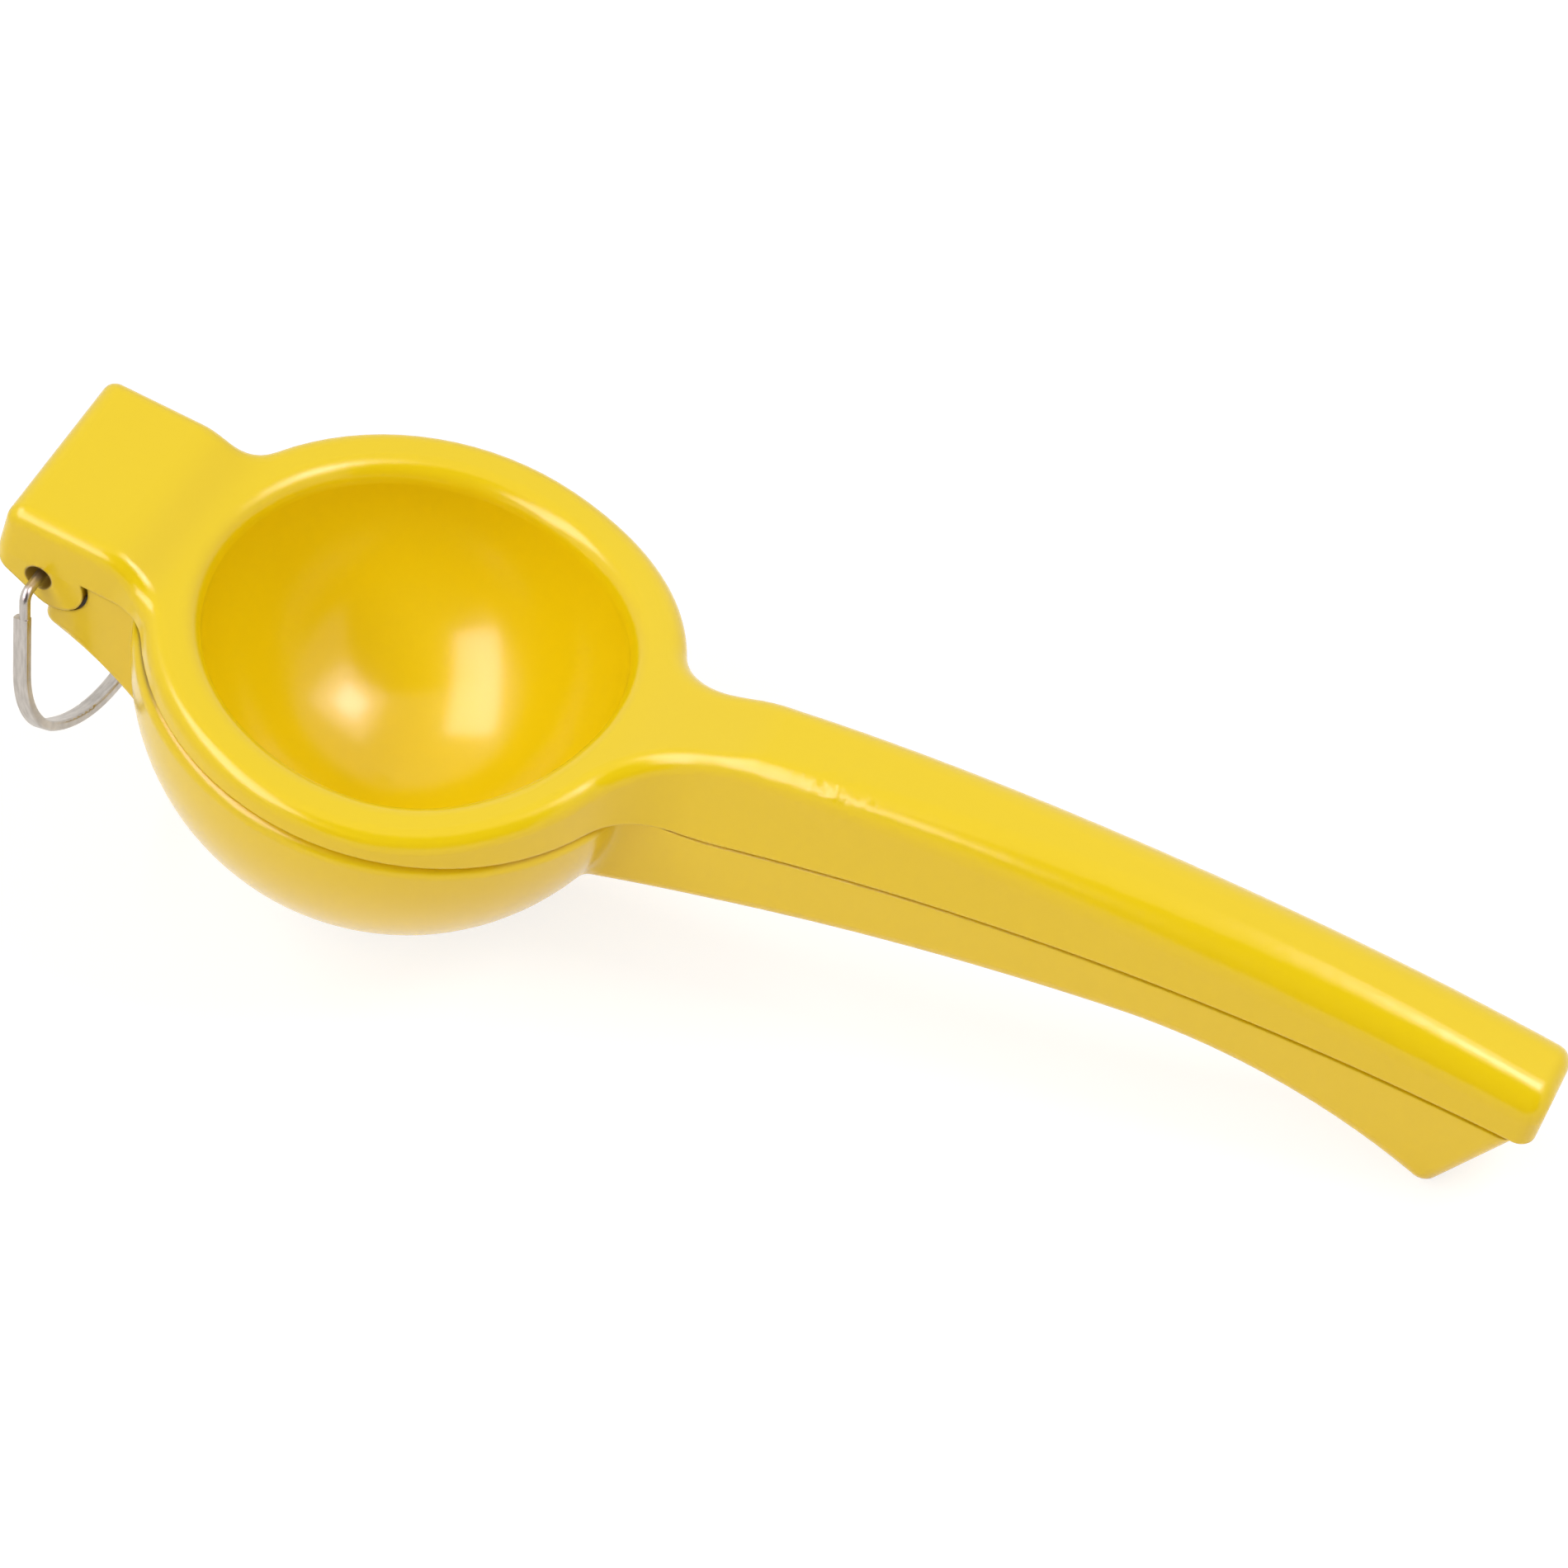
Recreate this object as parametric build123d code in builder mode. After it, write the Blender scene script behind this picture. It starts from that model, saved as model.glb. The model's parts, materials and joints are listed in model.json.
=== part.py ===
from build123d import *
import math
import os

# A hinged hand press for lemons: two enamelled castings on one steel pin, with a
# steel loop to hang it by. Lengths in millimetres, angles in degrees.
# The castings are drawn about the axis of the bowl: X runs to the handles, Z up,
# and z = 0 is the plane where the closed ring meets the bowl.

# Strainer bowl
bowl_radius = 39.1
bowl_centre_drop = 1.6
bowl_wall = 3.0
rim_round = 1.8
drain_hole = 4.6
drain_ring_radii = (9.0, 18.0)
drain_ring_counts = (6, 12)

# Press ring and cup
ring_offset = 0.5
ring_inset = 0.4
ring_thickness = 4.6
ring_round = 2.6
cup_centre_height = 2.5
cup_wall = 3.0
cup_side_gap = 2.8
lip_round = 3.2

# The castings where they close on each other
closing_gap = 0.4
parting_round = 0.4
casting_draft = 5.0

# Hinge block of the press arm
block_overhang = 7.4
block_width = 32.2
block_height = 8.0
block_slope_gap = 3.4
block_slope_length = 11.5
block_corner_round = 2.4
block_root_round = 8.0
barrel_offset = 2.5
barrel_round = 4.6
heel_drop = 1.9
heel_round = 3.0

# Hinge pin and the tongue that it is pressed into
pin_gap = 11.7
pin_drop = 2.0
pin_diameter = 4.0
pin_bore = 2.2
pin_recess = 3.0
pin_clearance = 0.05
tongue_radius = 4.4
tongue_width = 12.0
tongue_clearance = 0.5
slot_length = 8.2
slot_height = 2.8
gusset_inset = 0.6
gusset_nose_offset = 1.0
gusset_nose_depth = 3.6
gusset_nose_round = 2.0
gusset_swell_height = 1.0
gusset_angle = 29.0
gusset_edge_round = 1.2
recess_clearance = 0.5

# Handles
handle_length = 132.3
handle_overhang = 2.0
handle_root_width = 17.4
handle_tip_width = 15.0
neck_root_round = 12.0
closing_bend_gap = 1.4
closing_bend_radius = 40.0
closing_bend_angle = 17.8
closing_radius = 354.0
neck_length = 2.4
rise_radius = 70.0
ramp_slope = 25.0
ramp_run = 15.1
crest_gap = 2.5
crest_radius = 12.0
crest_slope = 13.4
handle_tip_height = 8.65
handle_tip_round = 2.6
channel_wall = 3.2
channel_width = 8.0
channel_depth = 6.4
channel_start_gap = 6.0
channel_end_gap = 9.0
crest_shares = (0.5, 1.0)
crest_shoulder_rounds = (3.0, 3.5)
station_shares = (0.16, 0.42, 0.72, 1.0)
shoulder_rounds = (4.4, 5.8, 5.8, 4.8)

# Lower handle
lower_inset = 0.2
lower_root_angle = 28.0
lower_root_slope = 24.2
lower_radius = 377.0
waist_slope = 11.5
hook_radius = 80.0
hook_angle = 35.2
lower_edge_round = 2.4
hook_tip_round = 2.6
bowl_root_round = 2.4

# Hanging loop
loop_top_gap = 3.8
loop_wire = 1.6
loop_end_length = 3.6
loop_bend = 1.6
loop_band_width = 2.4
loop_band_thickness = 1.5
loop_shoulder_drop = 3.6
loop_side_gap = 9.9
loop_corner_drop = 21.0
loop_drop = 41.0
loop_corner_round = 13.5
loop_bottom_round = 29.5
loop_edge_round = 0.4

# Cuts run this far past the faces that they open
overrun = 5.0

os.makedirs("parts", exist_ok=True)

# Values worked out from the sizes above
half_gap = closing_gap / 2
half_block = block_width / 2
ring_radius = bowl_radius - ring_inset
cup_radius = bowl_radius - bowl_wall - cup_side_gap - cup_wall
pin_setback = bowl_radius + pin_gap
barrel_x = -pin_setback + barrel_offset
block_end = pin_setback + block_overhang
block_flat_end = bowl_radius + block_slope_gap
slot_end = pin_setback - slot_length
handle_end = bowl_radius + handle_length
loop_top_half_width = half_block + loop_top_gap
loop_half_width = half_block + loop_side_gap


def sine(angle):
    return math.sin(math.radians(angle))


def cosine(angle):
    return math.cos(math.radians(angle))


def heading(slope):
    """Direction of a line that climbs at a slope."""
    return cosine(slope), sine(slope)


def arch(x, start_x, start_height, start_slope, radius):
    """Height and slope at x on an arc that bends downwards from a start point and slope."""
    slope = math.degrees(math.asin(sine(start_slope) - (x - start_x) / radius))
    height = start_height + radius * (cosine(slope) - cosine(start_slope))
    return height, slope


# Where the closing line of the handles starts its long arch
closing_bend_start = bowl_radius + closing_bend_gap
bend_x = closing_bend_start + closing_bend_radius * sine(closing_bend_angle)
bend_height = closing_bend_radius * (1 - cosine(closing_bend_angle))

# Crest of the neck, where the handle proper begins
root_centre_y = handle_root_width / 2 + neck_root_round
root_end = ring_offset + math.sqrt((ring_radius + neck_root_round) ** 2 - root_centre_y**2)
neck_end = root_end + neck_length
ramp_end = neck_end + crest_gap
ramp_start = ramp_end - ramp_run
ramp_start_height = ring_thickness + rise_radius * (1 - cosine(ramp_slope))
ramp_end_height = ramp_start_height + ramp_run * math.tan(math.radians(ramp_slope))
crest_x = ramp_end + crest_radius * (sine(ramp_slope) - sine(crest_slope))
crest_height = ramp_end_height + crest_radius * (cosine(crest_slope) - cosine(ramp_slope))


def closing_height(x):
    if x < bend_x:
        return closing_bend_radius - math.sqrt(closing_bend_radius**2 - (x - closing_bend_start) ** 2)
    return arch(x, bend_x, bend_height, closing_bend_angle, closing_radius)[0]


# The top of the handle is one arc from the crest to the height of the tip
handle_run = handle_end - crest_x
handle_climb = closing_height(handle_end) + handle_tip_height - crest_height
handle_top_dip = handle_run * sine(crest_slope) - handle_climb * cosine(crest_slope)
handle_top_radius = (handle_run**2 + handle_climb**2) / (2 * handle_top_dip)


def top_height(x):
    if x < ramp_end:
        return ramp_start_height + (x - ramp_start) * math.tan(math.radians(ramp_slope))
    if x < crest_x:
        return arch(x, ramp_end, ramp_end_height, ramp_slope, crest_radius)[0]
    return arch(x, crest_x, crest_height, crest_slope, handle_top_radius)[0]


def handle_width(x):
    share = (x - crest_x) / handle_run
    return handle_root_width + (handle_tip_width - handle_root_width) * share


def open_edges(faces):
    """Edges that only one of these faces has."""
    edges = [edge for face in faces for edge in face.edges()]
    return [edge for edge in edges if sum(edge.is_same(other) for other in edges) == 1]


def barrel_point(radius, angle):
    """A point at an angle on a circle about the centre of the hinge cheeks' rounded foot."""
    return barrel_x + radius * cosine(angle), -pin_drop + radius * sine(angle)


def handle_section(x, shoulder_round):
    """Upright section of the upper handle at x."""
    foot = closing_height(x) + half_gap
    half_width = handle_width(x) / 2
    top_half_width = half_width - (top_height(x) - foot) * math.tan(math.radians(casting_draft))
    with BuildSketch(Plane.YZ.offset(x)) as section:
        with BuildLine():
            Polyline(
                (-half_width, foot),
                (half_width, foot),
                (top_half_width, top_height(x)),
                (-top_half_width, top_height(x)),
                close=True,
            )
        make_face()
        fillet(section.vertices().group_by(Axis.Y)[-1], shoulder_round)
    return section.sketch


# Press arm: hinge block, ring with its cup, neck and upper handle
heel = (-block_end, -heel_drop)
heel_reach = math.hypot(heel[0] - barrel_x, heel[1] + pin_drop)
heel_bearing = math.degrees(math.atan2(heel[1] + pin_drop, heel[0] - barrel_x))
heel_tangent = heel_bearing % 360 + math.degrees(math.acos(barrel_round / heel_reach)) - 360
notch_angle = math.degrees(math.asin((half_gap + pin_drop) / barrel_round))

crest_stations = [neck_end + (crest_x - neck_end) * share for share in crest_shares]
crest_sections = [handle_section(*station) for station in zip(crest_stations, crest_shoulder_rounds)]
handle_stations = [crest_x + handle_run * share for share in station_shares]
handle_sections = [handle_section(*station) for station in zip(handle_stations, shoulder_rounds)]
cup_axis = Axis((ring_offset, 0, 0), (0, 0, 1))
channel_start = crest_x + channel_start_gap
channel_end = handle_end - channel_end_gap
roof_slope = arch(channel_start, crest_x, crest_height, crest_slope, handle_top_radius)[1]
roof_turn = roof_slope - arch(channel_end, crest_x, crest_height, crest_slope, handle_top_radius)[1]
neck_foot_height = closing_height(neck_end) + half_gap
neck_slope = math.degrees(math.asin((neck_end - closing_bend_start) / closing_bend_radius))
neck_width = handle_width(neck_end) + 2 * neck_foot_height * math.tan(math.radians(casting_draft))

with BuildPart() as press_arm:
    with BuildSketch() as plan:
        with Locations((ring_offset, 0)):
            Circle(ring_radius)
        with Locations((-block_end, 0)):
            Rectangle(block_end, block_width, align=(Align.MIN, Align.CENTER))
        Rectangle(neck_end, neck_width, align=(Align.MIN, Align.CENTER))
        block_roots = plan.vertices().filter_by(lambda v: -ring_radius < v.X < 0)
        fillet(block_roots, block_root_round)
        neck_roots = plan.vertices().filter_by(lambda v: 0 < v.X < ring_radius)
        fillet(neck_roots, neck_root_round)
        fillet(plan.vertices().group_by(Axis.X)[0], block_corner_round)
    extrude(amount=crest_height + overrun, taper=casting_draft)
    extrude(plan.sketch, amount=-pin_drop - barrel_round - overrun)
    with BuildSketch(Plane.XZ) as side:
        with BuildLine():
            block_top = Line((-block_end, block_height), (-block_flat_end, block_height))
            block_foot = (block_slope_length - block_flat_end, ring_thickness)
            slope = Spline(block_top @ 1, block_foot, tangents=((1, 0), (1, 0)))
            ring_top = Line(slope @ 1, (ramp_start - rise_radius * sine(ramp_slope), ring_thickness))
            rise = JernArc(ring_top @ 1, (1, 0), rise_radius, ramp_slope)
            ramp = Line(rise @ 1, (neck_end, top_height(neck_end)))
            neck_face = Line(ramp @ 1, (neck_end, neck_foot_height))
            bend = JernArc(neck_face @ 1, heading(neck_slope + 180), closing_bend_radius, -neck_slope)
            Line(bend @ 1, barrel_point(barrel_round, notch_angle))
            barrel = CenterArc((barrel_x, -pin_drop), barrel_round, notch_angle, heel_tangent - notch_angle)
            Polyline(barrel @ 1, heel, block_top @ 0)
        make_face()
        fillet(side.vertices().sort_by_distance(heel)[0], heel_round)
    extrude(amount=ring_radius + overrun, both=True, mode=Mode.INTERSECT)
    deck = press_arm.faces().filter_by(lambda f: f.normal_at().Z > cosine(45))
    fillet([edge for edge in open_edges(deck) if edge.center().X < neck_end - ring_round], ring_round)
    neck_section = press_arm.faces().sort_by(Axis.X)[-1]
    loft([neck_section] + crest_sections)
    loft(crest_sections[-1:] + handle_sections)
    fillet(press_arm.faces().sort_by(Axis.X)[-1].edges().sort_by(Axis.Z)[1:], handle_tip_round)
    foot = press_arm.faces().filter_by(lambda f: f.normal_at().Z < -cosine(45))
    foot = foot.filter_by(lambda f: f.center().X > -slot_end)
    fillet([edge for edge in open_edges(foot) if edge.center().X > -slot_end], parting_round)
    with BuildSketch(Plane.XZ):
        with Locations((ring_offset, cup_centre_height)):
            Circle(cup_radius + cup_wall)
            Rectangle(bowl_radius, bowl_radius * 2, align=(Align.MAX, Align.CENTER), mode=Mode.SUBTRACT)
            Rectangle(bowl_radius, bowl_radius, align=(Align.MIN, Align.MIN), mode=Mode.SUBTRACT)
    revolve(axis=cup_axis)
    with BuildSketch(Plane.XZ):
        with Locations((ring_offset, cup_centre_height)):
            Circle(cup_radius)
            Rectangle(cup_radius, handle_end, align=(Align.MIN, Align.MIN))
            Rectangle(cup_radius, handle_end, align=(Align.MAX, Align.CENTER), mode=Mode.SUBTRACT)
    revolve(axis=cup_axis, mode=Mode.SUBTRACT)
    cup_mouth = press_arm.faces().filter_by(GeomType.CYLINDER).filter_by(lambda f: f.radius == cup_radius)
    fillet([edge for edge in open_edges(cup_mouth) if edge.center().Z > cup_centre_height], lip_round)
    with BuildSketch(Plane.XZ):
        with Locations((-slot_end, slot_height)):
            Rectangle(block_end, bowl_radius, align=Align.MAX)
    extrude(amount=tongue_width / 2 + tongue_clearance, both=True, mode=Mode.SUBTRACT)
    with BuildSketch(Plane.XZ):
        with Locations((-pin_setback, -pin_drop)):
            Circle(pin_diameter / 2 + pin_clearance)
    extrude(amount=block_width, both=True, mode=Mode.SUBTRACT)
    with BuildSketch(Plane.XZ):
        with BuildLine():
            roof_start = (channel_start, top_height(channel_start) - channel_wall)
            roof = JernArc(roof_start, heading(roof_slope), handle_top_radius - channel_wall, -roof_turn)
            Polyline(roof @ 1, (channel_end, -overrun), (channel_start, -overrun), roof @ 0)
        make_face()
    extrude(amount=channel_width / 2, both=True, mode=Mode.SUBTRACT)

# Strainer arm: bowl, gusset and tongue of the hinge, lower handle
lower_end = handle_end - handle_overhang
lower_slope = arch(lower_end, bend_x, bend_height, closing_bend_angle, closing_radius)[1]
lower_root_half_width = handle_root_width / 2 - lower_inset
lower_end_half_width = handle_width(lower_end) / 2 - lower_inset
floor_slope = arch(channel_end, bend_x, bend_height, closing_bend_angle, closing_radius)[1]
floor_turn = arch(channel_start, bend_x, bend_height, closing_bend_angle, closing_radius)[1] - floor_slope
recess_round = barrel_round + recess_clearance
recess_angle = math.degrees(math.asin((pin_drop - half_gap) / recess_round))
nose_angle = -90 - math.degrees(math.asin(gusset_nose_offset / recess_round))
mid_wall = bowl_radius - bowl_wall / 2
gusset_foot = (-mid_wall * cosine(gusset_angle), -bowl_centre_drop - mid_wall * sine(gusset_angle))
lower_root = (mid_wall * cosine(lower_root_angle), -bowl_centre_drop - mid_wall * sine(lower_root_angle))

with BuildPart() as strainer_arm:
    with BuildSketch():
        Rectangle(block_end, block_width - 2 * gusset_inset, align=(Align.MAX, Align.CENTER))
        with BuildLine():
            Polyline(
                (0, -lower_root_half_width),
                (crest_x, -lower_root_half_width),
                (lower_end, -lower_end_half_width),
                (lower_end, lower_end_half_width),
                (crest_x, lower_root_half_width),
                (0, lower_root_half_width),
                close=True,
            )
        make_face()
    extrude(amount=handle_end, both=True)
    with BuildSketch(Plane.XZ) as lower_side:
        with BuildLine():
            tip = (lower_end, closing_height(lower_end) - half_gap)
            closing_turn = closing_bend_angle - lower_slope
            closing = JernArc(tip, heading(lower_slope + 180), closing_radius, closing_turn)
            bend = JernArc(closing @ 1, closing % 1, closing_bend_radius, -closing_bend_angle)
            Line(bend @ 1, barrel_point(recess_round, recess_angle))
            recess = CenterArc((barrel_x, -pin_drop), recess_round, recess_angle, nose_angle - recess_angle)
            nose_line = Line(recess @ 1, recess @ 1 - (0, gusset_nose_depth))
            SagittaArc(nose_line @ 1, gusset_foot, gusset_swell_height)
            Line(gusset_foot, lower_root)
            root_turn = lower_root_slope - waist_slope
            underside = JernArc(lower_root, heading(lower_root_slope), lower_radius, -root_turn)
            hook = JernArc(underside @ 1, underside % 1, hook_radius, -hook_angle)
            Line(hook @ 1, tip)
        make_face()
        fillet(lower_side.vertices().sort_by_distance(hook @ 1)[0], hook_tip_round)
        fillet(lower_side.vertices().sort_by_distance(nose_line @ 1)[0], gusset_nose_round)
    extrude(amount=ring_radius, both=True, mode=Mode.INTERSECT)
    lower_faces = strainer_arm.faces().filter_by(lambda f: f.normal_at().Z < 0)
    lower_edges = [edge for edge in open_edges(lower_faces) if abs(edge.center().Y) > channel_width / 2]
    fillet([edge for edge in lower_edges if edge.center().X > lower_root[0]], lower_edge_round)
    fillet([edge for edge in lower_edges if edge.center().X < gusset_foot[0]], gusset_edge_round)
    with BuildSketch(Plane.XZ) as ball:
        with Locations((0, -bowl_centre_drop)):
            Circle(bowl_radius)
            Rectangle(bowl_radius, bowl_radius * 2, align=(Align.MAX, Align.CENTER), mode=Mode.SUBTRACT)
        with Locations((0, -half_gap)):
            Rectangle(bowl_radius, bowl_radius, align=(Align.MIN, Align.MIN), mode=Mode.SUBTRACT)
        fillet(ball.vertices().sort_by(Axis.X)[-1], rim_round)
    revolve(axis=Axis.Z)
    bowl_face = strainer_arm.faces().filter_by(GeomType.SPHERE).sort_by(SortBy.AREA)[-1]
    fillet([edge for edge in bowl_face.edges() if edge.center().X > bowl_radius / 2], bowl_root_round)
    with BuildSketch(Plane.XZ):
        with Locations((0, -bowl_centre_drop)):
            Circle(bowl_radius - bowl_wall)
            Rectangle(bowl_radius, bowl_radius * 2, align=(Align.MAX, Align.CENTER), mode=Mode.SUBTRACT)
    revolve(axis=Axis.Z, mode=Mode.SUBTRACT)
    with BuildSketch():
        Circle(drain_hole / 2)
        for drain_radius, drain_count in zip(drain_ring_radii, drain_ring_counts):
            with PolarLocations(drain_radius, drain_count):
                Circle(drain_hole / 2)
    extrude(amount=-2 * bowl_radius, mode=Mode.SUBTRACT)
    with BuildSketch(Plane.XZ):
        with BuildLine():
            floor_end = (channel_end, closing_height(channel_end) - channel_depth)
            floor_radius = closing_radius - channel_depth
            floor = JernArc(floor_end, heading(floor_slope + 180), floor_radius, floor_turn)
            Polyline(floor @ 1, (channel_start, handle_end), (channel_end, handle_end), floor @ 0)
        make_face()
    extrude(amount=channel_width / 2, both=True, mode=Mode.SUBTRACT)
    with BuildSketch(Plane.XZ):
        with Locations((-pin_setback, -pin_drop)):
            Circle(tongue_radius)
        with BuildLine():
            Polyline(
                (-pin_setback, -half_gap),
                (-slot_end, -half_gap),
                (-slot_end, (nose_line @ 1).Y),
                nose_line @ 1,
                (-pin_setback, -pin_drop - tongue_radius),
                close=True,
            )
        make_face()
    extrude(amount=tongue_width / 2, both=True)
    with BuildSketch(Plane.XZ):
        with Locations((-pin_setback, -pin_drop)):
            Circle(pin_diameter / 2)
    extrude(amount=block_width, both=True, mode=Mode.SUBTRACT)

# Hinge pin: a steel tube, pressed into the tongue
with BuildPart() as hinge_pin:
    with BuildSketch(Plane.XZ):
        with Locations((-pin_setback, -pin_drop)):
            Circle(pin_diameter / 2)
            Circle(pin_bore / 2, mode=Mode.SUBTRACT)
    extrude(amount=half_block - pin_recess, both=True)

# The closed tool lies on the round of its bowl and on the end of its lower handle
tip_round = lower_side.edges().filter_by(GeomType.CIRCLE).sort_by_distance(hook @ 1)[0]
tip_reach = math.hypot(tip_round.arc_center.X, tip_round.arc_center.Y + bowl_centre_drop)
tip_rise = math.degrees(math.atan2(tip_round.arc_center.Y + bowl_centre_drop, tip_round.arc_center.X))
lie_angle = tip_rise + math.degrees(math.asin((bowl_radius - hook_tip_round) / tip_reach))

# Hanging loop: round ends in the bore of the pin, a flat band below, hanging plumb
hang_plane = Plane(
    origin=(-pin_setback, 0, -pin_drop),
    x_dir=(0, 1, 0),
    z_dir=(cosine(lie_angle), 0, sine(lie_angle)),
)
shoulder_share = loop_shoulder_drop / loop_corner_drop
shoulder_half_width = loop_top_half_width + (loop_half_width - loop_top_half_width) * shoulder_share
band_plane = hang_plane.offset((loop_wire - loop_band_width) / 2)
wire_end_y = half_block - pin_recess - loop_end_length

with BuildPart() as hanging_loop:
    with BuildLine(band_plane) as band_line:
        FilletPolyline(
            (shoulder_half_width, -loop_shoulder_drop),
            (loop_half_width, -loop_corner_drop),
            (0, -loop_drop),
            (-loop_half_width, -loop_corner_drop),
            (-shoulder_half_width, -loop_shoulder_drop),
            radius=(loop_corner_round, loop_bottom_round, loop_corner_round),
        )
    with BuildSketch(Plane(band_line.line @ 0, hang_plane.z_dir, band_line.line % 0)):
        RectangleRounded(loop_band_width, loop_band_thickness, loop_edge_round)
    sweep(path=band_line.line)
    with BuildLine(hang_plane) as end_line:
        FilletPolyline(
            (wire_end_y, 0),
            (loop_top_half_width, 0),
            (shoulder_half_width, -loop_shoulder_drop),
            radius=loop_bend,
        )
    with BuildSketch(Plane(end_line.line @ 0, hang_plane.z_dir, end_line.line % 0)):
        Circle(loop_wire / 2)
    wire_end = sweep(path=end_line.line)
    mirror(wire_end, about=Plane.XZ)

# Each piece goes to its place on the table, centred over the origin
pieces = (press_arm.part, strainer_arm.part, hinge_pin.part, hanging_loop.part)
table_drop = bowl_radius + bowl_centre_drop * cosine(lie_angle)
lying = Compound([piece.moved(Location((0, 0, table_drop), (0, lie_angle, 0))) for piece in pieces])
on_table = Location((-lying.bounding_box().center().X, 0, table_drop), (0, lie_angle, 0))
for piece in pieces:
    piece.locate(on_table)

press_arm.part.label = "press_arm"
export_step(press_arm.part, "parts/press_arm.step")
strainer_arm.part.label = "strainer_arm"
export_step(strainer_arm.part, "parts/strainer_arm.step")
hinge_pin.part.label = "hinge_pin"
export_step(hinge_pin.part, "parts/hinge_pin.step")
hanging_loop.part.label = "hanging_loop"
export_step(hanging_loop.part, "parts/hanging_loop.step")
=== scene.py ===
import json
import math

import bpy
from mathutils import Matrix, Vector


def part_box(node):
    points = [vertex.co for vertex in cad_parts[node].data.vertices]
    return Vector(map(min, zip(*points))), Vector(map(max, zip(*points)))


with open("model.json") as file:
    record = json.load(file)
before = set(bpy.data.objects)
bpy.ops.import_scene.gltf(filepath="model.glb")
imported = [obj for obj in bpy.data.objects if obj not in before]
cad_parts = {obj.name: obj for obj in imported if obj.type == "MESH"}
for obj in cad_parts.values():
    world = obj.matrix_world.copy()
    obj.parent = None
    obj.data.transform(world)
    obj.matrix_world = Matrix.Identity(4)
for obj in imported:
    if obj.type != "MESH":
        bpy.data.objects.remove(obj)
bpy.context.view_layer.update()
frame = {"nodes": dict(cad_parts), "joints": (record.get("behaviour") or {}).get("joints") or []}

# Millimetres to the scene's metres
MM = 0.001

# The camera that took the photograph, in the frame of the table: metres, degrees, millimetres
CAMERA_PLACE = (0.28434, -0.55152, 0.64668)
CAMERA_TURN = (45.355, 2.904, 24.411)
CAMERA_LENS = 144.0
CAMERA_SENSOR = 36.0

# Studio lamps: direction from the cup, direction of the long side, width, length, watts, colour.
# Body lamps light the enamel's own colour, and gloss lamps show only as its highlights.
WHITE = (1.0, 1.0, 1.0)
WARM = (1.0, 0.80, 0.60)
ROSY = (1.0, 0.83, 0.96)
BODY_LAMPS = {
    "right_lamp": ((0.68, 0.19, 0.71), (0.0, 1.0, 0.0), 0.34, 0.34, 3.6, WHITE),
    "left_lamp": ((-0.40, -0.45, 0.80), (-0.57, 1.18, 0.30), 0.22, 1.40, 5.7, WHITE),
    "front_lamp": ((0.20, -0.85, 0.50), (1.0, 0.0, 0.0), 1.00, 1.00, 0.9, WARM),
    "back_lamp": ((-0.10, 0.85, 0.50), (1.0, 0.0, 0.0), 1.00, 1.00, 0.9, WARM),
}
GLOSS_LAMPS = {
    "right_softbox": ((0.66, 0.20, 0.72), (0.0, 1.0, 0.0), 0.37, 0.37, 1.20, ROSY),
    "right_softbox_core": ((0.65, 0.19, 0.73), (0.0, 1.0, 0.0), 0.17, 0.17, 0.66, ROSY),
    "left_softbox": ((-0.29, -0.49, 0.83), (-0.32, 0.77, 0.54), 0.32, 0.70, 3.9, ROSY),
}
BODY_LAMP_DISTANCE = 0.95
GLOSS_LAMP_DISTANCE = 0.62

# The light of the room, and its unlit side by the camera, a dark card that only the gloss shows
AMBIENT = (0.36, 0.315, 0.275, 1.0)
CARD_DIRECTION = (0.42, -0.70, 0.58)
CARD_DISTANCE = 1.6
CARD_SIDE = 2.4
CARD_TONE = 0.01

# The floor throws warm light on the tool, and to the eye is white with a soft shadow
FLOOR_SIDE = 6.0
FLOOR_ALBEDO = (0.90, 0.81, 0.72, 1.0)
FLOOR_SEEN_ALBEDO = 0.30
FLOOR_SEEN_GLOW = 0.80

# Enamel: its colours as linear values, and the sizes of its unevenness
LEMON = (0.84, 0.632, 0.003, 1.0)
DEEP_LEMON = (0.815, 0.607, 0.003, 1.0)
# Painted shade: colours laid into the seams where the two arms meet, deepest at the hinge
SEAM_SHADE_COLOUR = (0.80, 0.57, 0.003, 1.0)
HINGE_SHADE_COLOUR = (0.34, 0.22, 0.003, 1.0)
SPECK = (0.42, 0.30, 0.02, 1.0)
ENAMEL_IOR = 1.5
GLOSS_ROUGHNESS = 0.15
ROUGHNESS_SPREAD = 0.08
# Reach and strength of the painted shade in the seams, and where its deeper hinge part ends
CREVICE_REACH = 2.0 * MM
CREVICE_START = 0.05
CREVICE_FULL = 0.35
HINGE_END = -86 * MM
HINGE_FADE = 6 * MM
EDGE_SOFTNESS = 0.7 * MM
SPECK_SPACING = 14 * MM
SPECK_REACH_SHARE = 0.014
SPECK_RARITY = 0.6
MOTTLE_SIZE = 40 * MM
WAVE_SIZE = 5 * MM
WAVE_DEPTH = 0.03 * MM
PEEL_SIZE = 0.9 * MM
PEEL_SHARE = 0.1

# Lumps where the wet enamel sagged on the near shoulder of the neck
SAG_PLACE = (11 * MM, -6 * MM, 43 * MM)
SAG_REACH = 13 * MM
SAG_LUMP = 2.6 * MM
SAG_SHARE = 7.0

# Bare metal in the hole that was drilled for the pin
DRILLED_BROWN = (0.56, 0.40, 0.06, 1.0)
DRILLED_ROUGHNESS = 0.35
DRILLED_METAL_SHARE = 0.15
PIN_HOLE_EDGE = 2.2 * MM

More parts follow.
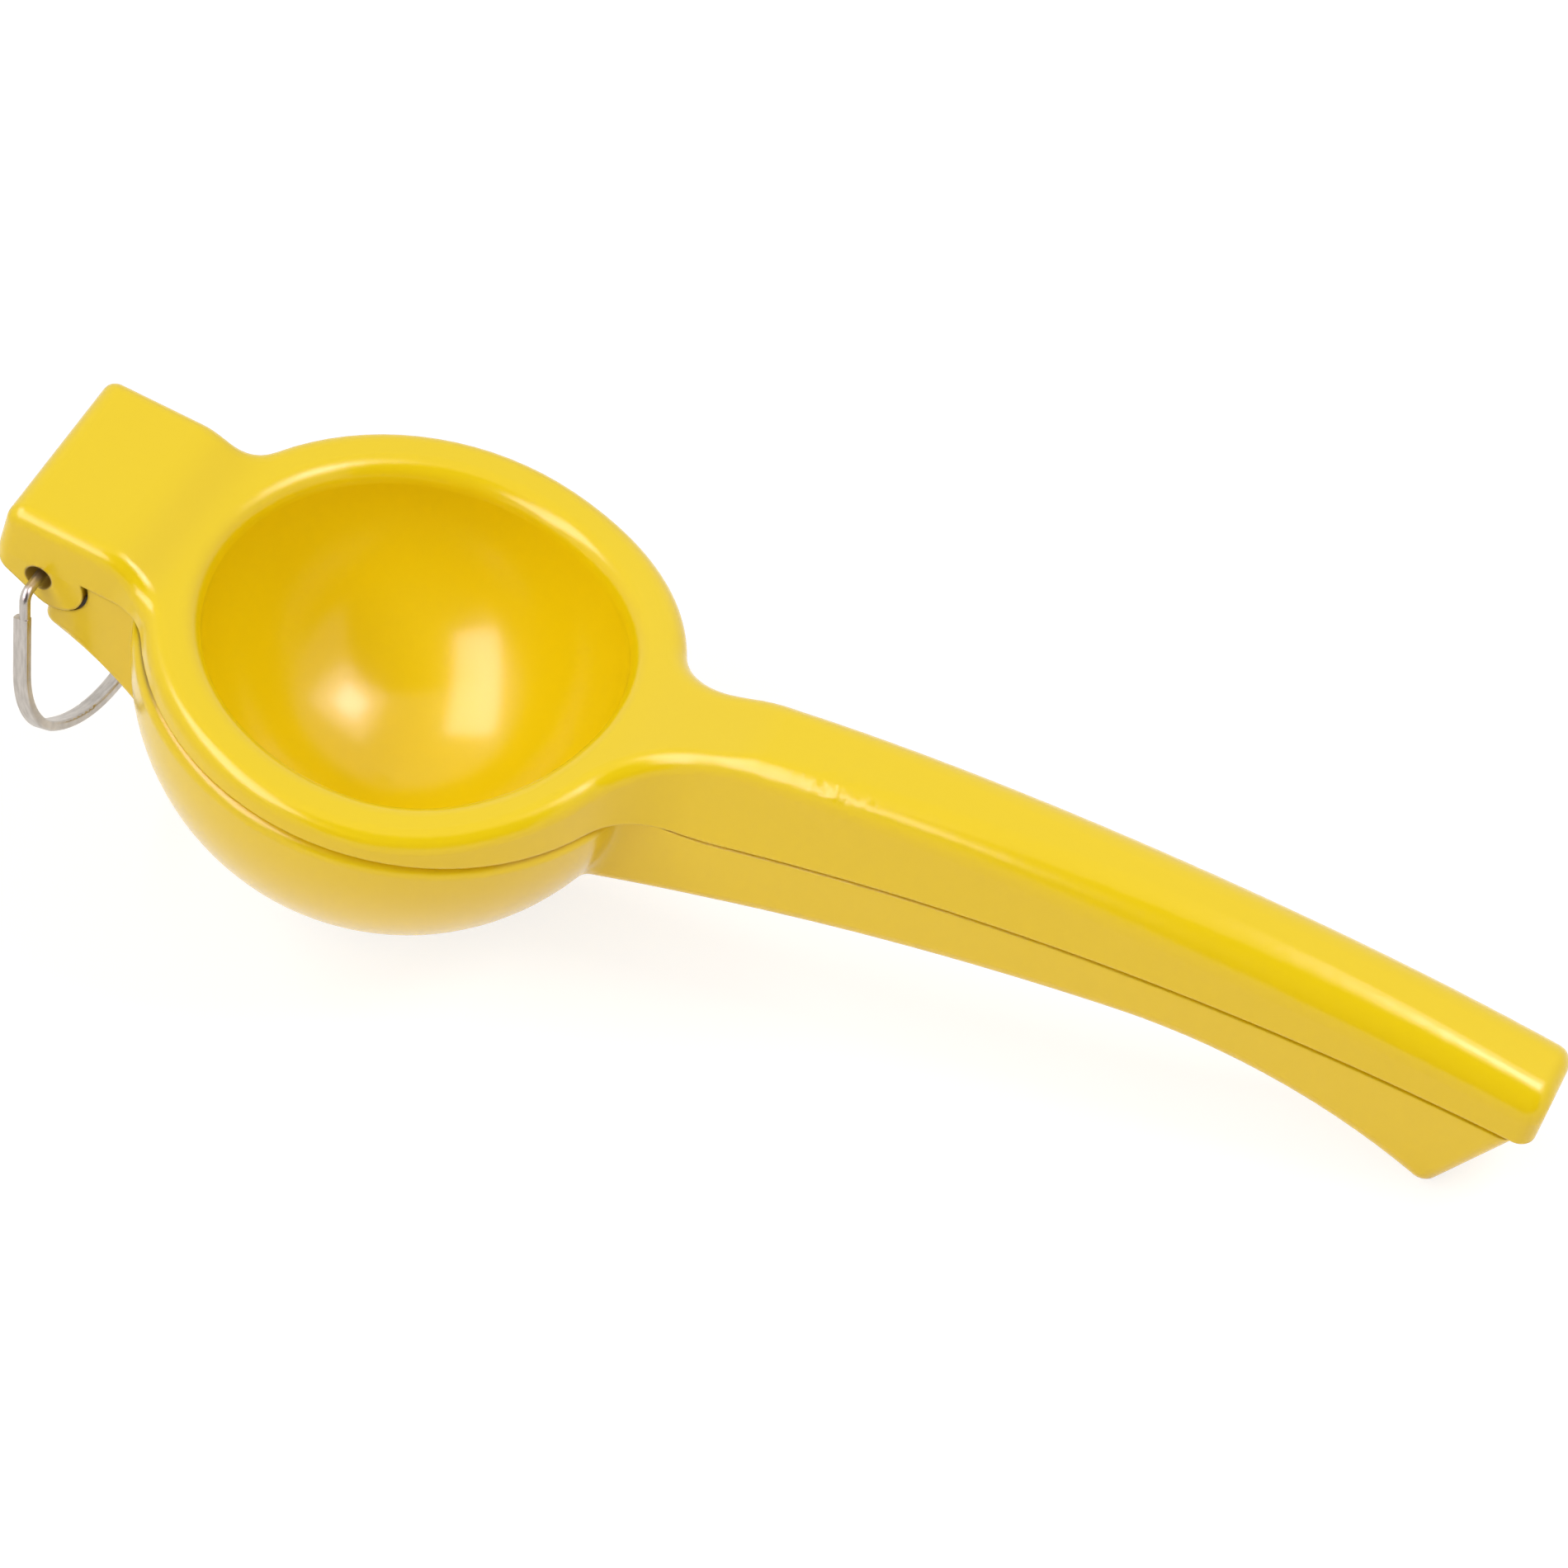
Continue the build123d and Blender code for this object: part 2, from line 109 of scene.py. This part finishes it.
# Steel of the loop and of the pin
LOOP_DARK = (0.30, 0.27, 0.24, 1.0)
LOOP_LIGHT = (0.72, 0.68, 0.63, 1.0)
LOOP_MARK_SIZE = 2.4 * MM
LOOP_MARK_STRETCH = (6.0, 1.0, 1.0)
LOOP_MARK_DETAIL = 4.0
LOOP_MARK_DEPTH = 0.01 * MM
LOOP_ROUGHNESS = 0.26
PIN_DARK = (0.46, 0.38, 0.27, 1.0)
PIN_LIGHT = (0.72, 0.64, 0.50, 1.0)
PIN_STAIN_SIZE = 1.5 * MM
PIN_ROUGHNESS = 0.3
STEEL_ROUGHNESS_SPREAD = 0.15

# Colour sockets of a Mix node, by number because it has several of each name
MIX_SHARE, MIX_FIRST, MIX_SECOND = 0, 6, 7
MIX_RESULT = 2
NOISE_DETAIL = 2.0


class Wire:
    """A shader socket. Arithmetic on it adds the Math nodes that work the sum out."""

    def __init__(self, tree, socket):
        self.tree = tree
        self.socket = socket

    def node(self, kind, settings=None, inputs=None, output=0):
        """Adds a node: its settings first, then the values or links of its sockets."""
        node = self.tree.nodes.new(kind)
        for name, value in (settings or {}).items():
            setattr(node, name, value)
        for name, value in (inputs or {}).items():
            self.feed(node.inputs[name], value)
        return Wire(self.tree, node.outputs[output])

    def feed(self, socket, value):
        """Links a wire to a socket, or sets the socket to a plain value."""
        if isinstance(value, Wire):
            self.tree.links.new(value.socket, socket)
        else:
            socket.default_value = value

    def maths(self, operation, *values):
        return self.node("ShaderNodeMath", {"operation": operation}, dict(enumerate(values)))

    def __add__(self, other):
        return self.maths("ADD", self, other)

    def __sub__(self, other):
        return self.maths("SUBTRACT", self, other)

    def __rsub__(self, other):
        return self.maths("SUBTRACT", other, self)

    def __mul__(self, other):
        return self.maths("MULTIPLY", self, other)

    def __lt__(self, other):
        return self.maths("LESS_THAN", self, other)

    def __gt__(self, other):
        return self.maths("GREATER_THAN", self, other)

    def __pow__(self, other):
        return self.maths("POWER", self, other)

    __radd__ = __add__
    __rmul__ = __mul__

    def step(self, low, high):
        """0 below low, 1 above high, and a smooth rise between."""
        inputs = {"Value": self, "From Min": low, "From Max": high}
        return self.node("ShaderNodeMapRange", {"interpolation_type": "SMOOTHSTEP"}, inputs)

    def noise(self, size, detail=NOISE_DETAIL):
        """Noise whose lumps are about this long, on these coordinates."""
        inputs = {"Vector": self, "Scale": 1 / size, "Detail": detail}
        return self.node("ShaderNodeTexNoise", inputs=inputs, output="Fac")

    def between(self, first, second):
        """The first colour where this is 0, the second where it is 1."""
        inputs = {MIX_SHARE: self, MIX_FIRST: first, MIX_SECOND: second}
        return self.node("ShaderNodeMix", {"data_type": "RGBA"}, inputs, MIX_RESULT)

    def part(self, axis):
        """One of the three parts of a vector: X, Y or Z."""
        return self.node("ShaderNodeSeparateXYZ", inputs={0: self}, output=axis)


def new_material(name):
    """A new material, with its node tree and its Principled shader."""
    material = bpy.data.materials.new(name)
    material.use_nodes = True
    tree = material.node_tree
    return material, tree, tree.nodes["Principled BSDF"]


def object_place(tree):
    """Where a point is on its own piece."""
    return Wire(tree, tree.nodes.new("ShaderNodeTexCoord").outputs["Object"])


def drilled_share(place):
    """1 in the hole that was drilled for the pin, 0 elsewhere."""
    hinge = next(joint for joint in frame["joints"] if joint["name"] == "press_hinge")
    ends = {0: place, 1: hinge["pos_m"]}
    off_pin = place.node("ShaderNodeVectorMath", {"operation": "SUBTRACT"}, ends)
    reach = (off_pin.part("X") ** 2 + off_pin.part("Z") ** 2) ** 0.5
    return reach < PIN_HOLE_EDGE


def speck_share(place):
    """1 on a few small specks, 0 elsewhere."""
    cells = {"Vector": place, "Scale": 1 / SPECK_SPACING}
    reach = place.node("ShaderNodeTexVoronoi", {}, cells, "Distance")
    draw = place.node("ShaderNodeTexVoronoi", {}, cells, "Color").part("X")
    return (reach < SPECK_REACH_SHARE) * (draw > SPECK_RARITY)


def seam_shade_share(place):
    """Where the painted shade goes: rises to 1 where another piece stands close by, as in the
    seam and the hinge.
    """
    reach = {"Distance": CREVICE_REACH}
    own = place.node("ShaderNodeAmbientOcclusion", {"only_local": True}, reach, "AO")
    whole = place.node("ShaderNodeAmbientOcclusion", {}, reach, "AO")
    return (own - whole).step(CREVICE_START, CREVICE_FULL)


def enamel_relief(place, peel):
    """The coat's normal: softened edges, slow waves, orange peel and the sagged lumps."""
    ends = {0: place, 1: SAG_PLACE}
    off_sag = place.node("ShaderNodeVectorMath", {"operation": "DISTANCE"}, ends, "Value")
    sag = (1 - off_sag.step(0.0, SAG_REACH)) * place.noise(SAG_LUMP)
    height = place.noise(WAVE_SIZE) + peel * PEEL_SHARE + sag * SAG_SHARE
    soft = place.node("ShaderNodeBevel", {}, {"Radius": EDGE_SOFTNESS})
    relief = {"Strength": 1.0, "Distance": WAVE_DEPTH, "Height": height, "Normal": soft}
    return place.node("ShaderNodeBump", {}, relief)


def yellow_enamel():
    """Thick gloss enamel over a casting, with painted shade in the seams between the arms, bare
    where it was drilled.
    """
    material, tree, shader = new_material("yellow_enamel")
    place = object_place(tree)
    drilled = drilled_share(place)
    peel = place.noise(PEEL_SIZE)
    coat = place.noise(MOTTLE_SIZE).between(LEMON, DEEP_LEMON)
    coat = speck_share(place).between(coat, SPECK)
    # Painted shade colour, deeper at the hinge end, laid into the coat where the arms meet
    off_hinge = place.part("X").step(HINGE_END, HINGE_END + HINGE_FADE)
    shade_colour = off_hinge.between(HINGE_SHADE_COLOUR, SEAM_SHADE_COLOUR)
    coat = seam_shade_share(place).between(coat, shade_colour)
    gloss = peel * ROUGHNESS_SPREAD + GLOSS_ROUGHNESS
    gloss = gloss + drilled * (DRILLED_ROUGHNESS - GLOSS_ROUGHNESS)
    place.feed(shader.inputs["Base Color"], drilled.between(coat, DRILLED_BROWN))
    place.feed(shader.inputs["Metallic"], drilled * DRILLED_METAL_SHARE)
    place.feed(shader.inputs["Roughness"], gloss)
    place.feed(shader.inputs["Normal"], enamel_relief(place, peel))
    shader.inputs["IOR"].default_value = ENAMEL_IOR
    return material


def loop_steel():
    """Bent steel band with a satin finish and faint draw marks."""
    material, tree, shader = new_material("loop_steel")
    place = object_place(tree)
    streaks = place.node("ShaderNodeMapping", {}, {"Vector": place, "Scale": LOOP_MARK_STRETCH})
    marks = streaks.noise(LOOP_MARK_SIZE, LOOP_MARK_DETAIL)
    relief = {"Strength": 1.0, "Distance": LOOP_MARK_DEPTH, "Height": marks}
    place.feed(shader.inputs["Base Color"], marks.between(LOOP_DARK, LOOP_LIGHT))
    place.feed(shader.inputs["Roughness"], marks * STEEL_ROUGHNESS_SPREAD + LOOP_ROUGHNESS)
    place.feed(shader.inputs["Normal"], place.node("ShaderNodeBump", {}, relief))
    shader.inputs["Metallic"].default_value = 1.0
    return material


def pin_steel():
    """Dull steel tube with random darker and lighter stains."""
    material, tree, shader = new_material("pin_steel")
    place = object_place(tree)
    stain = place.noise(PIN_STAIN_SIZE)
    place.feed(shader.inputs["Base Color"], stain.between(PIN_DARK, PIN_LIGHT))
    place.feed(shader.inputs["Roughness"], stain * STEEL_ROUGHNESS_SPREAD + PIN_ROUGHNESS)
    shader.inputs["Metallic"].default_value = 1.0
    return material


def dress(node, material):
    """Gives a CAD node its finish."""
    for slot in frame["nodes"][node].material_slots:
        slot.material = material


def grey(level):
    """A colour of this level, from 0 for black to 1 for white."""
    return (level, level, level, 1.0)


def seen_directly(tree):
    """1 for rays that reach the eye straight, by a mirror or through glass."""
    path = tree.nodes.new("ShaderNodeLightPath")
    kinds = ("Camera", "Glossy", "Transmission")
    straight, mirrored, through = (Wire(tree, path.outputs[f"Is {kind} Ray"]) for kind in kinds)
    return straight.maths("MINIMUM", straight + mirrored + through, 1.0)


def matte_material(name):
    """A new material with no gloss, with its node tree and its shader."""
    material, tree, shader = new_material(name)
    shader.inputs["Roughness"].default_value = 1.0
    shader.inputs["Specular IOR Level"].default_value = 0.0
    return material, tree, shader


def add_floor():
    """White floor that still shows the object's soft shadow."""
    bpy.ops.mesh.primitive_plane_add(size=FLOOR_SIDE)
    floor = bpy.context.object
    floor.name = "floor"
    material, tree, shader = matte_material("white_floor")
    seen = seen_directly(tree)
    seen.feed(shader.inputs["Base Color"], seen.between(FLOOR_ALBEDO, grey(FLOOR_SEEN_ALBEDO)))
    seen.feed(shader.inputs["Emission Color"], seen.between(grey(0.0), grey(FLOOR_SEEN_GLOW)))
    shader.inputs["Emission Strength"].default_value = 1.0
    floor.data.materials.append(material)


def add_world():
    """White surround, dimmer as a lamp than it looks."""
    world = bpy.data.worlds.new("studio")
    bpy.context.scene.world = world
    world.use_nodes = True
    tree = world.node_tree
    seen = seen_directly(tree)
    seen.feed(tree.nodes["Background"].inputs["Color"], seen.between(AMBIENT, grey(1.0)))


def add_dark_card():
    """The unlit side of the room, which deepens the gloss between the lamps."""
    direction = Vector(CARD_DIRECTION).normalized()
    bpy.ops.mesh.primitive_plane_add(size=CARD_SIDE, location=direction * CARD_DISTANCE)
    card = bpy.context.object
    card.name = "dark_card"
    card.rotation_euler = direction.to_track_quat("Z", "Y").to_euler()
    material, _, shader = matte_material("dark_card")
    shader.inputs["Base Color"].default_value = grey(CARD_TONE)
    card.data.materials.append(material)
    card.visible_camera = False
    card.visible_diffuse = False
    card.visible_transmission = False
    card.visible_shadow = False


def add_lamps(lamps, distance, lights_body):
    """Hangs lamps round the cup, that either light the body colour or show in the gloss."""
    low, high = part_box("press_arm")
    # A point over the cup, half the ring's width in from the hinge end
    cup = Vector((low[0] + (high[1] - low[1]) / 2, 0.0, high[2]))
    for name, (direction, along, width, length, power, tint) in lamps.items():
        lamp = bpy.data.lights.new(name, "AREA")
        lamp.shape = "RECTANGLE"
        lamp.size = width
        lamp.size_y = length
        lamp.energy = power
        lamp.color = tint
        hung = bpy.data.objects.new(name, lamp)
        hung.visible_diffuse = lights_body
        hung.visible_glossy = not lights_body
        bpy.context.collection.objects.link(hung)
        back = Vector(direction).normalized()
        side = Vector(along).cross(back).normalized()
        hung.location = cup + back * distance
        hung.rotation_euler = Matrix((side, back.cross(side), back)).transposed().to_euler()


def add_camera():
    """Sets up the camera of the photograph."""
    camera = bpy.data.cameras.new("photo_camera")
    camera.lens = CAMERA_LENS
    camera.sensor_fit = "HORIZONTAL"
    camera.sensor_width = CAMERA_SENSOR
    holder = bpy.data.objects.new("photo_camera", camera)
    bpy.context.collection.objects.link(holder)
    holder.location = CAMERA_PLACE
    holder.rotation_euler = [math.radians(angle) for angle in CAMERA_TURN]
    bpy.context.scene.camera = holder


enamel = yellow_enamel()
dress("press_arm", enamel)
dress("strainer_arm", enamel)
dress("hinge_pin", pin_steel())
dress("hanging_loop", loop_steel())
add_floor()
add_world()
add_dark_card()
add_lamps(BODY_LAMPS, BODY_LAMP_DISTANCE, True)
add_lamps(GLOSS_LAMPS, GLOSS_LAMP_DISTANCE, False)
add_camera()
bpy.context.scene.view_settings.view_transform = "Standard"
